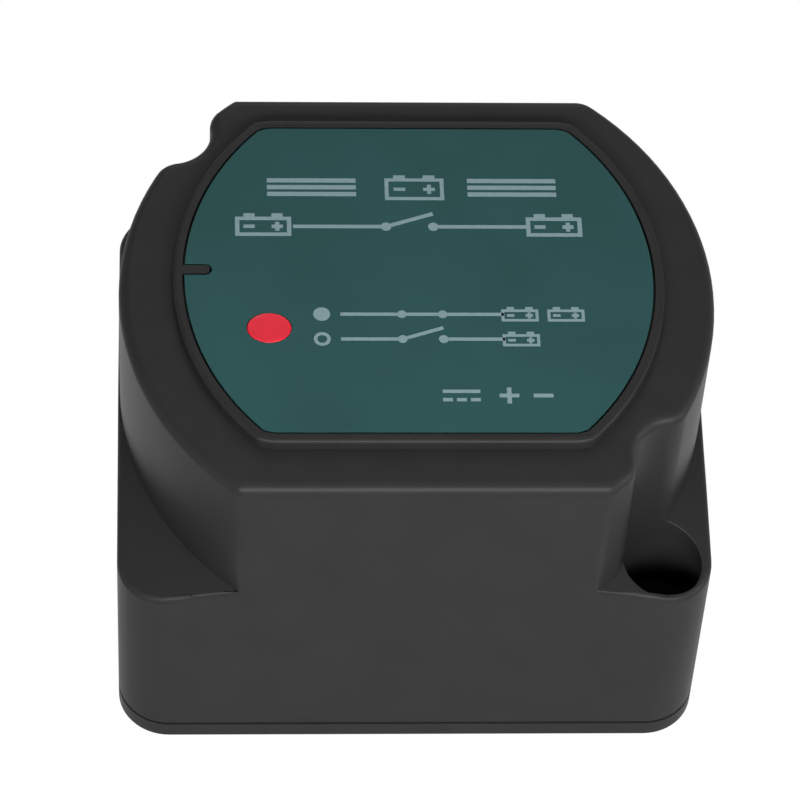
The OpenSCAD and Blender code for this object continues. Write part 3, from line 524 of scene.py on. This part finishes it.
def outerBlock(s):
    bm = bmesh.new()
    blockFace(bm, s["width"], s["depth"], s["foot"], s["cornerRadius"])
    raiseFace(bm, s["shoulder"] - s["foot"])
    for v in bm.verts:  # the front and back lean inwards, for the moulding to leave its tool
        v.co.y -= math.copysign(s["lean"] * (v.co.z - s["foot"]), v.co.y)
    block = newPiece("housingShell", bm)
    tip = s["ledge"] + s["sideRadius"] * s["slope"]
    wallRadius = s["sideRadius"] - s["sideInset"]
    offset = s["sideRadius"] - s["width"] / 2
    c = cutter
    for side in (-1, 1):
        near, far = sorted((side * c["inner"], side * c["outer"]))
        centre = (-side * offset, 0)
        tool = brick("aboveLedge", (near, -c["depth"], c["low"]), (far, c["depth"], c["high"]))
        arc = rod("wallArc", wallRadius, c["arcLow"], c["arcHigh"], centre, segments=c["segments"])
        for place in s["mounts"]:
            if place[0] * side > 0:
                combine(arc, hornPrism(s, place, s["hornOuter"], 1))
                combine(arc, hornPrism(s, place, s["hornInner"], -1))
        combine(tool, arc)
        combine(tool, rod("ledgeCone", tip / s["slope"], 0, tip, centre, 0.0, c["segments"]))
        combine(block, tool)
    for place in s["mounts"]:
        top = s["top"] + c["aboveTop"]
        combine(block, rod("scallop", s["boreRadius"], s["boreFloor"], top, place))

    def radii(middle, edge, turn):
        zones = edgeZones
        upright = abs(edge.verts[0].co.z - edge.verts[1].co.z) > zones["uprightRise"]
        mount = min((middle - Vector((*place, middle.z))).length for place in s["mounts"])
        scallop = mount < s["boreRadius"] + zones["bore"]
        if scallop and middle.z < s["ledge"]:
            return 0 if middle.z < s["boreFloor"] + 1 else s["boreFillet"]
        if upright and mount < s["boreRadius"] + zones["horn"]:
            return 0
        if upright:
            back = middle.y > 0 and mount > zones["mount"]
            return (s["backCorner"] if back else s["frontCorner"]) * math.tan(turn / 2)
        if abs(middle.z - s["shoulder"]) < levelTolerance:
            return s["topFillet"]
        if middle.z < s["foot"] + levelTolerance:
            return s["footFillet"]
        ledgeWidth = math.hypot(abs(middle.x) + offset, middle.y) - wallRadius
        flat = s["depth"] / 2 - s["lean"] * (middle.z - s["foot"])
        past = Vector((max(0, abs(middle.x) - s["width"] / 2 + s["cornerRadius"]),
                       max(0, abs(middle.y) - flat + s["cornerRadius"])))
        outer = past.length > s["cornerRadius"] - zones["outline"]
        return min(s["ledgeFillet"], s["ledgeShare"] * ledgeWidth) if outer else 0

    filletByWeight(block, radii)
    return block


def cavityPrism(s):
    bm = bmesh.new()
    lensFace(bm, s["width"] - 2 * s["wall"], s["depth"] - 2 * s["wall"],
             s["sideRadius"] - s["wall"], (0, 0), s["cavityFloor"])
    raiseFace(bm, s["ceiling"] - s["cavityFloor"])
    cavity = newPiece("cavity", bm)
    for place in s["mounts"]:
        column = rod("column", s["boreRadius"] + s["columnWall"], -beyond, s["top"], place)
        combine(cavity, column)
    return cavity


def entryTool(s, low, high):
    bm = bmesh.new()
    bmesh.ops.create_cone(bm, cap_ends=True, segments=72, radius1=s["entryRadius"],
                          radius2=s["entryRadius"], depth=high - low)
    bmesh.ops.rotate(bm, cent=(0, 0, 0), matrix=Matrix.Rotation(math.pi / 2, 3, "Y"),
                     verts=bm.verts)
    bmesh.ops.translate(bm, vec=((low + high) / 2, 0, s["entryHeight"]), verts=bm.verts)
    return newPiece("entry", bm)


def seatTool(s):  # the label's seat, whose floor a groove runs round and whose key rib stays
    seat = labelPrism("seat", label["gap"], s["top"] - label["groove"], s["top"] + beyond)
    floor = labelPrism("seatFloor", -label["gap"] / 4, s["ceiling"], s["top"] - label["recess"])
    combine(floor, keyStadium("keyGap", label["gap"], s["ceiling"] - beyond, s["top"]))
    combine(seat, floor)
    combine(seat, keyStadium("keyRib", 0.0, s["ceiling"], s["top"]))
    return seat


def housingShell(s):
    body = outerBlock(s)
    bm = bmesh.new()
    blockFace(bm, s["width"] - 2 * s["neckInset"], s["depth"] - 2 * s["neckInset"],
              s["foot"] - s["neck"], s["cornerRadius"] - s["neckInset"])
    raiseFace(bm, s["neck"] + s["neckOverlap"])
    combine(body, newPiece("neck", bm), "UNION")
    rim = labelPrism("rim", label["rim"], s["ceiling"] + beyond, s["top"], label["rimFillet"])
    combine(body, rim, "UNION")
    combine(body, cavityPrism(s))
    combine(body, seatTool(s))
    for place in s["holes"]:
        hole = rod("hole", s["holeRadius"], -beyond, s["boreFloor"] + beyond, place, segments=64)
        combine(body, hole)
    windowSize = [size + 2 * label["windowGap"] for size in label["windowSize"]]
    combine(body, oval("windowHole", windowSize, s["ceiling"] - beyond, s["top"] + beyond,
                       label["window"]))
    for side in (-1, 1):
        low, high = sorted((side * (s["width"] / 2 + beyond),
                            side * (s["width"] / 2 - s["wall"] - beyond)))
        half = s["slotWidth"] / 2
        combine(body, brick("slot", (low, -half, 0), (high, half, s["entryHeight"])))
        combine(body, entryTool(s, low, high))
    bm = edit(body)
    fillAgain(bm, s["shoulder"])
    finishPiece(body, bm, "abs")
    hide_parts("housing")
    print("housing shell:", len(body.data.polygons), "faces")


housingShell(shell)


# Label film with its key slot and window
def labelFilmPiece():
    low, high = shell["top"] - beyond, shell["top"] + beyond
    floor = shell["top"] - label["recess"]
    film = labelPrism("labelFilm", 0.0, floor, floor + label["thickness"])
    combine(film, keyStadium("keySlot", label["gap"], low, high))
    windowSize = [size + label["windowGap"] for size in label["windowSize"]]
    combine(film, oval("windowSlot", windowSize, low, high, label["window"]))
    finishPiece(film, edit(film), "film")
    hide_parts("label_overlay")


def windowLens():
    top = shell["top"] - label["lensSink"]
    lens = oval("windowLens", label["windowSize"], shell["ceiling"], top, label["window"])
    bm = edit(lens)
    roundEdges(bm, topEdges(bm, top), label["lensFillet"], 3)
    finishPiece(lens, bm, "lens")
    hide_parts("led_window")


# Plain printed marks: bars, batteries, switches and polarity signs, with no lettering
def batteryMarks(x, y, wide, high, t):
    right, top = x + wide, y + high
    return [("bar", x, y, right, y + t), ("bar", x, top - t, right, top),
            ("bar", x, y + t, x + t, top - t), ("bar", right - t, y + t, right, top - t),
            ("bar", x + 0.15 * wide, top, x + 0.35 * wide, top + t),
            ("bar", x + 0.65 * wide, top, x + 0.85 * wide, top + t),
            *signMarks(x + 0.25 * wide, y + 0.5 * high, 0.2 * wide, t, False),
            *signMarks(x + 0.75 * wide, y + 0.5 * high, 0.2 * wide, t, True)]


def signMarks(x, y, size, t, plus):
    half = size / 2
    level = [("bar", x - half, y - t / 2, x + half, y + t / 2)]
    return level + [("bar", x - t / 2, y + t / 2, x + t / 2, y + half),
                    ("bar", x - t / 2, y - half, x + t / 2, y - t / 2)] if plus else level


def switchMarks(x, y, reach, lead, lift, t):
    dot = 1.2 * t
    away = Vector((reach, lift)).normalized() * dot
    tip = (x + reach - (0 if lift else dot), y + lift)
    return [("bar", x - lead, y - t / 2, x - dot, y + t / 2), ("disc", x, y, dot),
            ("disc", x + reach, y, dot),
            ("bar", x + reach + dot, y - t / 2, x + reach + lead, y + t / 2),
            ("line", x + away.x, y + away.y, *tip, t)]


marks = {
    "thickness": 0.02, "sunk": 0.005,
    "shapes": [
        *[("bar", x, y, x + 10.2, y + 0.62) for x in (-16.9, 6.1) for y in (12.15, 13.15, 14.15)],
        *batteryMarks(-3.4, 11.6, 6.8, 3.2, 0.45),
        *batteryMarks(-20.6, 6.3, 6.4, 2.8, 0.5),
        *switchMarks(-3.4, 7.7, 5.4, 10.6, 1.9, 0.5),
        *batteryMarks(12.6, 6.3, 6.4, 2.8, 0.5),
        ("disc", -11.0, -4.9, 0.95), *switchMarks(-2.0, -4.9, 4.6, 6.9, 0.0, 0.45),
        *batteryMarks(9.2, -5.9, 4.2, 1.7, 0.35), *batteryMarks(14.4, -5.9, 4.2, 1.7, 0.35),
        ("ring", -11.0, -8.4, 0.95, 0.4), *switchMarks(-2.0, -8.4, 4.6, 6.9, 1.6, 0.45),
        *batteryMarks(9.2, -9.4, 4.2, 1.7, 0.35),
        ("bar", 2.2, -15.9, 6.4, -15.45),
        *[("bar", x, -17.05, x + 1.1, -16.6) for x in (2.2, 3.75, 5.3)],
        *signMarks(9.6, -16.25, 2.2, 0.5, True), *signMarks(13.4, -16.25, 2.2, 0.5, False),
    ],
}


def circlePoints(x, y, radius, steps=32):
    turns = [2 * math.pi * i / steps for i in range(steps)]
    return [(x + radius * math.cos(turn), y + radius * math.sin(turn)) for turn in turns]


def labelPrint():
    bm = bmesh.new()

    def face(points):
        bm.faces.new([bm.verts.new((x, y, 0)) for x, y in points])

    for kind, *p in marks["shapes"]:
        if kind == "bar":
            face([(p[0], p[1]), (p[2], p[1]), (p[2], p[3]), (p[0], p[3])])
        elif kind == "line":
            start, end = Vector(p[:2]), Vector(p[2:4])
            across = (end - start).orthogonal().normalized() * p[4] / 2
            face([start - across, end - across, end + across, start + across])
        elif kind == "disc":
            face(circlePoints(*p))
        else:
            outer, inner = circlePoints(*p[:3]), circlePoints(p[0], p[1], p[2] - p[3])
            for i in range(len(outer)):
                j = (i + 1) % len(outer)
                face([outer[i], outer[j], inner[j], inner[i]])
    top = shell["top"] - label["recess"] + label["thickness"]
    bmesh.ops.remove_doubles(bm, verts=bm.verts, dist=0.0001)
    bmesh.ops.recalc_face_normals(bm, faces=bm.faces)
    raiseFace(bm, marks["thickness"])
    bmesh.ops.translate(bm, vec=(0, 0, top - marks["sunk"]), verts=bm.verts)
    finishPiece(newPiece("labelPrint", bmesh.new()), bm, "ink")


labelFilmPiece()
windowLens()
labelPrint()
print("label and window made")


# Stage: white floor, white surround, soft lamps
stage = {
    "floorSize": 3.0,
    "floorDrop": 0.00005,  # keeps the floor out of the plane of the plate's underside
    "ambient": 0.02,
    "aim": (0.0, 0.0, 0.03),
    "lamps": (  # name, place in metres, width and height in metres, watts
        ("frontStrip", (0.02, -0.26, 0.21), (0.5, 0.07), 4.6),
        ("leftLamp", (-0.6, -0.12, 0.14), (0.25, 0.25), 0.4),
        ("rightLamp", (0.6, -0.12, 0.14), (0.25, 0.25), 2.0),
        ("topLamp", (0.0, 0.1, 0.8), (0.5, 0.5), 1.3),
        ("backLamp", (0.0, 0.9, 0.6), (0.5, 0.3), 2.8),
    ),
}


def showsWhite(tree):  # 1 for camera, glossy and transmission rays
    rays = addNode(tree, "ShaderNodeLightPath")
    first = addNode(tree, "ShaderNodeMath", {"operation": "MAXIMUM"})
    tree.links.new(rays.outputs["Is Camera Ray"], first.inputs[0])
    tree.links.new(rays.outputs["Is Glossy Ray"], first.inputs[1])
    second = addNode(tree, "ShaderNodeMath", {"operation": "MAXIMUM"})
    tree.links.new(first.outputs[0], second.inputs[0])
    tree.links.new(rays.outputs["Is Transmission Ray"], second.inputs[1])
    return second.outputs[0]


def addWorld(s):
    world = bpy.data.worlds.new("whiteTent")
    bpy.context.scene.world = world
    world.use_nodes = True
    tree = world.node_tree
    background = tree.nodes["Background"]
    background.inputs["Color"].default_value = (1, 1, 1, 1)
    level = addNode(tree, "ShaderNodeMapRange", {"To Min": s["ambient"], "To Max": 1.0},
                    {"Value": showsWhite(tree)})
    tree.links.new(level.outputs["Result"], background.inputs["Strength"])


def addFloor(s):
    bm = bmesh.new()
    bmesh.ops.create_grid(bm, x_segments=1, y_segments=1, size=s["floorSize"] / 2)
    floor = newPiece("floor", bm)
    floor.location.z = -s["floorDrop"]
    material, tree, bsdf = newMaterial("whiteFloor", Base_Color=hexColor("f2f2f2"), Roughness=0.9)
    glow = addNode(tree, "ShaderNodeEmission", {"Color": (1, 1, 1, 1), "Strength": 1.0})
    mixed = addNode(tree, "ShaderNodeMixShader", links={"Fac": showsWhite(tree)})
    tree.links.new(bsdf.outputs["BSDF"], mixed.inputs[1])
    tree.links.new(glow.outputs["Emission"], mixed.inputs[2])
    clear = addNode(tree, "ShaderNodeBsdfTransparent")  # seen from below, the floor is clear
    below = addNode(tree, "ShaderNodeMixShader",
                    links={"Fac": addNode(tree, "ShaderNodeNewGeometry").outputs["Backfacing"]})
    tree.links.new(mixed.outputs["Shader"], below.inputs[1])
    tree.links.new(clear.outputs["BSDF"], below.inputs[2])
    tree.links.new(below.outputs["Shader"], tree.nodes["Material Output"].inputs["Surface"])
    floor.data.materials.append(material)


def addLamps(s):
    for name, place, (wide, high), watts in s["lamps"]:
        lamp = bpy.data.lights.new(name, "AREA")
        lamp.shape, lamp.size, lamp.size_y, lamp.energy = "RECTANGLE", wide, high, watts
        holder = bpy.data.objects.new(name, lamp)
        holder.location = place
        towards = Vector(s["aim"]) - Vector(place)
        holder.rotation_euler = towards.to_track_quat("-Z", "Y").to_euler()
        bpy.context.scene.collection.objects.link(holder)


addWorld(stage)
addFloor(stage)
addLamps(stage)
bpy.context.scene.view_settings.view_transform = "Standard"
print("stage lit")
